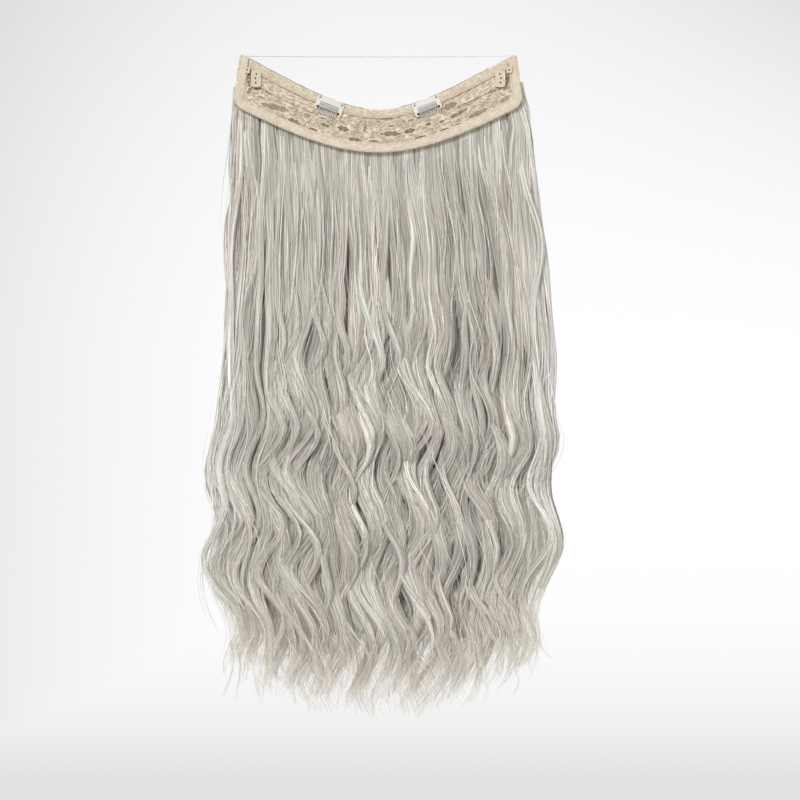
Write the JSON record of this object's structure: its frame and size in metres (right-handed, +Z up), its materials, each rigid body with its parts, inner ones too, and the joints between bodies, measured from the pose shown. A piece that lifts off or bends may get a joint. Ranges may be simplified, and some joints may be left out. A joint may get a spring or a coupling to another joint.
{
  "type": "halo hair extension",
  "caption": "Wavy silver-grey hair piece: rows of hair hang from a crescent lace cap that a clear halo wire and snap comb clips hold on the head.",
  "frame": {"origin": "middle of the halo wire, where it crosses the crown of the head", "axes": "+Z up along the hanging hair, +Y away from the head through the cap, +X to the right seen from the head side"},
  "size_m": [0.3104, 0.0427, 0.5903],
  "materials": {
    "lace": "matte open lace, beige",
    "binding_tape": "matte folded tape, cream beige",
    "tab": "satin plastic, beige",
    "clip_steel": "satin pale steel",
    "grip_silicone": "soft translucent white silicone",
    "wire_nylon": "clear nylon line",
    "hair_fibre": "soft silver-grey fibre with a satin sheen"
  },
  "bodies": {
    "halo": {"lace_panel": "lace", "edge_binding": "binding_tape", "strap_left": "binding_tape", "strap_right": "binding_tape", "adjuster_plate_left": "tab", "adjuster_plate_right": "tab", "wire_anchor_left": "tab", "wire_anchor_right": "tab", "clip_frame_left": "clip_steel", "clip_frame_right": "clip_steel", "halo_wire": "wire_nylon", "hair_lower_row": "hair_fibre", "hair_middle_row": "hair_fibre", "hair_upper_row": "hair_fibre"},
    "comb_left": {"clip_comb_left": "clip_steel", "clip_grip_left": "grip_silicone"},
    "comb_right": {"clip_comb_right": "clip_steel", "clip_grip_right": "grip_silicone"}
  },
  "joints": [
    {"name": "comb_snap_left", "type": "hinge", "parent": "halo", "child": "comb_left", "pos_m": [-0.04294, 0.00668, -0.04231], "axis": [-0.9325, -0.0631, 0.3556], "range_deg": [0, 35]},
    {"name": "comb_snap_right", "type": "hinge", "parent": "halo", "child": "comb_right", "pos_m": [0.04294, 0.00668, -0.04231], "axis": [-0.9325, 0.0631, -0.3556], "range_deg": [0, 35]}
  ]
}
